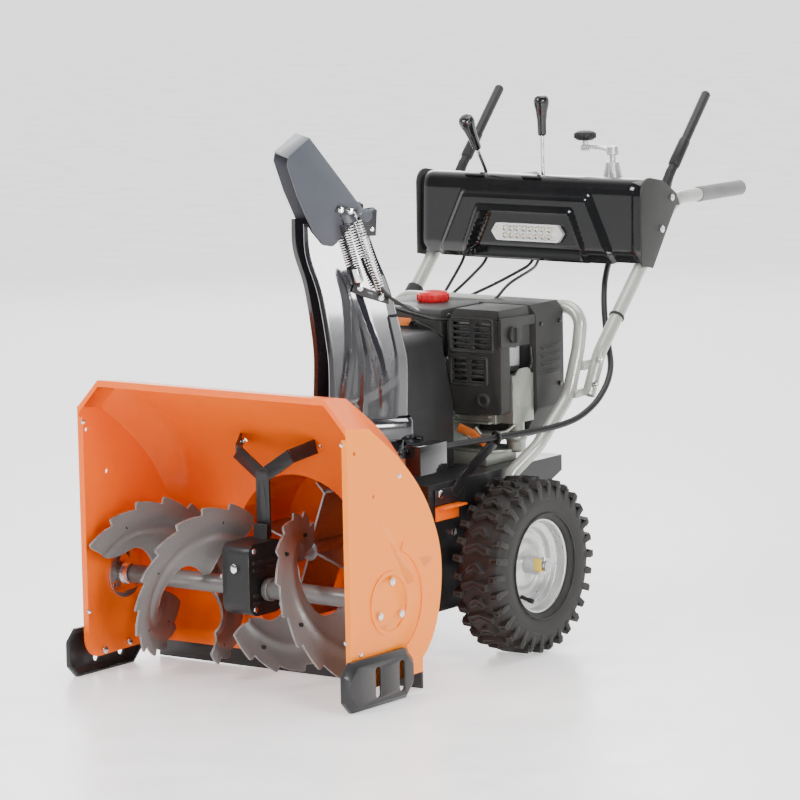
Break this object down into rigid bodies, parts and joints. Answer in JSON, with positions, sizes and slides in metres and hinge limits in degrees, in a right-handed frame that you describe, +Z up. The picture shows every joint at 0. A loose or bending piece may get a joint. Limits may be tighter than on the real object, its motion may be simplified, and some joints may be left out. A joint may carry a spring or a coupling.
{
  "type": "two stage snowblower",
  "caption": "Walk-behind snow thrower with serrated augers, an impeller, a turning discharge chute, an engine, lugged tyres and a handle console.",
  "frame": {"origin": "on the ground under the middle of the whole machine", "axes": "+Z up, +X to the left of the operator, +Y backwards from the augers to the handles"},
  "size_m": [0.6496, 1.437, 1.0033],
  "materials": {
    "orange_paint": "gloss orange powder coat",
    "grey_steel": "grey metallic paint",
    "plain_steel": "machined steel",
    "black_steel": "semi-gloss black paint",
    "black_casting": "black painted casting",
    "bright_chrome": "bright zinc and chrome plate",
    "black_gloss": "polished black",
    "deflector_plastic": "satin black",
    "silver_tube": "silver grey paint",
    "rim_silver": "silver paint",
    "tyre_rubber": "black rubber",
    "black_rubber": "black rubber",
    "black_plastic": "textured charcoal plastic",
    "red_plastic": "red plastic",
    "engine_alloy": "cast aluminium",
    "spring_steel": "dark spring steel",
    "grip_grey": "knurled grey rubber",
    "lamp_lens": "frosted clear lens on a white reflector",
    "crank_finish": "plated arm with a black knob"
  },
  "bodies": {
    "machine": {"auger_housing": "orange_paint", "bearings": "bright_chrome", "belt_cover": "black_steel", "bottom_cover": "black_steel", "carburettor": "engine_alloy", "chute_base": "black_gloss", "chute_shaft_sheath": "spring_steel", "console_frame": "black_steel", "console_shell": "black_gloss", "control_cables": "black_rubber", "crankcase": "engine_alloy", "cylinder_head": "engine_alloy", "deflector_cable": "black_rubber", "drive_belts": "black_rubber", "fan_housing": "black_plastic", "fasteners": "bright_chrome", "frame_shell": "black_steel", "fuel_tank": "black_plastic", "gear_case": "black_casting", "gearbox_bracket": "black_steel", "hand_grips": "grip_grey", "headlight": "lamp_lens", "impeller_housing": "orange_paint", "lower_handle": "silver_tube", "muffler": "engine_alloy", "muffler_guard": "black_plastic", "scraper_bar": "black_steel", "shaft_guide_bracket": "black_steel", "side_cover": "black_plastic", "side_plate_left": "orange_paint", "side_plate_right": "orange_paint", "skid_shoes": "black_steel", "upper_handles": "silver_tube"},
    "auger_set": {"auger_left": "grey_steel", "auger_right": "grey_steel", "auger_shaft": "plain_steel", "worm_wheel": "plain_steel"},
    "impeller_set": {"impeller": "plain_steel", "impeller_shaft": "plain_steel"},
    "wheel_set": {"axle": "plain_steel", "wheel_rims": "rim_silver", "tyres": "tyre_rubber", "wheel_pins": "bright_chrome"},
    "hex_set": {"hex_shaft": "plain_steel"},
    "friction_set": {"friction_wheel": "black_rubber"},
    "disc_set": {"drive_disc": "plain_steel"},
    "crank_set": {"crankshaft": "plain_steel"},
    "starter_grip": {"starter_handle": "black_plastic"},
    "tank_cap": {"fuel_cap": "red_plastic"},
    "choke": {"choke_knob": "black_plastic"},
    "chute": {"chute_channel": "black_gloss", "chute_spring": "spring_steel", "chute_cable": "black_rubber"},
    "hood": {"deflector": "deflector_plastic"},
    "tilt_lever": {"deflector_lever": "black_plastic"},
    "shift_lever": {"speed_lever": "black_plastic"},
    "worm": {"chute_worm": "spring_steel"},
    "crank_handle": {"chute_crank": "crank_finish"},
    "drive_lever": {"drive_paddle": "black_plastic"},
    "auger_lever": {"auger_paddle": "black_plastic"}
  },
  "joints": [
    {"name": "impeller_spin", "type": "hinge", "parent": "machine", "child": "impeller_set", "pos_m": [0, -0.5655, 0.215], "axis": [0, 1, 0], "continuous": true},
    {"name": "auger_spin", "type": "hinge", "parent": "machine", "child": "auger_set", "pos_m": [0, -0.5655, 0.174], "axis": [1, 0, 0], "continuous": true},
    {"name": "wheel_spin", "type": "hinge", "parent": "machine", "child": "wheel_set", "pos_m": [0, -0.0875, 0.165], "axis": [1, 0, 0], "continuous": true},
    {"name": "hex_spin", "type": "hinge", "parent": "machine", "child": "hex_set", "pos_m": [0, -0.1182, 0.215], "axis": [1, 0, 0], "continuous": true},
    {"name": "friction_slide", "type": "slide", "parent": "hex_set", "child": "friction_set", "axis": [1, 0, 0], "range_m": [-0.072, 0.018]},
    {"name": "disc_spin", "type": "hinge", "parent": "machine", "child": "disc_set", "pos_m": [0, -0.1725, 0.215], "axis": [0, 1, 0], "continuous": true},
    {"name": "crankshaft_spin", "type": "hinge", "parent": "machine", "child": "crank_set", "pos_m": [0, -0.2305, 0.43], "axis": [0, 1, 0], "continuous": true},
    {"name": "starter_pull", "type": "slide", "parent": "machine", "child": "starter_grip", "axis": [0, 1, 0], "range_m": [0, 0.6], "stiffness_N_per_m": 15, "springref_m": -0.05},
    {"name": "cap_lift", "type": "slide", "parent": "machine", "child": "tank_cap", "axis": [0, 0, 1], "range_m": [0, 0.12]},
    {"name": "choke_turn", "type": "hinge", "parent": "machine", "child": "choke", "pos_m": [0.1813, -0.0025, 0.58], "axis": [1, 0, 0], "range_deg": [0, 90]},
    {"name": "chute_turn", "type": "hinge", "parent": "machine", "child": "chute", "pos_m": [0.105, -0.3395, 0.4063], "axis": [0, 0, 1], "range_deg": [-54, 136]},
    {"name": "deflector_tilt", "type": "hinge", "parent": "chute", "child": "hood", "pos_m": [0.0952, -0.3508, 0.838], "axis": [0.7547, -0.6561, 0], "range_deg": [0, 50], "stiffness_Nm_per_rad": 1.5, "springref_deg": -28.65},
    {"name": "tilt_lever_swing", "type": "hinge", "parent": "machine", "child": "tilt_lever", "pos_m": [0.004, 0.3945, 0.745], "axis": [1, 0, 0], "range_deg": [-21, 3]},
    {"name": "speed_lever_swing", "type": "hinge", "parent": "machine", "child": "shift_lever", "pos_m": [-0.131, 0.3945, 0.745], "axis": [1, 0, 0], "range_deg": [-26, 6]},
    {"name": "worm_turn", "type": "hinge", "parent": "machine", "child": "worm", "pos_m": [0.215, -0.3615, 0.406], "axis": [0, 1, 0], "range_deg": [-330, 830]},
    {"name": "crank_turn", "type": "hinge", "parent": "machine", "child": "crank_handle", "pos_m": [0.141, 0.4195, 0.748], "axis": [0, 0, 1], "range_deg": [-330, 830]},
    {"name": "drive_paddle_press", "type": "hinge", "parent": "machine", "child": "drive_lever", "pos_m": [0.246, 0.4315, 0.803], "axis": [1, 0, 0], "range_deg": [-44, 0], "stiffness_Nm_per_rad": 1.2, "springref_deg": 20.05},
    {"name": "auger_paddle_press", "type": "hinge", "parent": "machine", "child": "auger_lever", "pos_m": [-0.246, 0.4315, 0.803], "axis": [1, 0, 0], "range_deg": [-44, 0], "stiffness_Nm_per_rad": 1.2, "springref_deg": 20.05}
  ],
  "couplings": [
    {"joint": "auger_spin", "follows": "impeller_spin", "ratio": 0.1},
    {"joint": "hex_spin", "follows": "wheel_spin", "ratio": -4},
    {"joint": "disc_spin", "follows": "crankshaft_spin", "ratio": 0.56667},
    {"joint": "friction_slide", "follows": "speed_lever_swing", "m_per_rad": 0.154},
    {"joint": "tilt_lever_swing", "follows": "deflector_tilt", "ratio": -0.4},
    {"joint": "worm_turn", "follows": "chute_turn", "ratio": 6},
    {"joint": "crank_turn", "follows": "chute_turn", "ratio": 6}
  ]
}
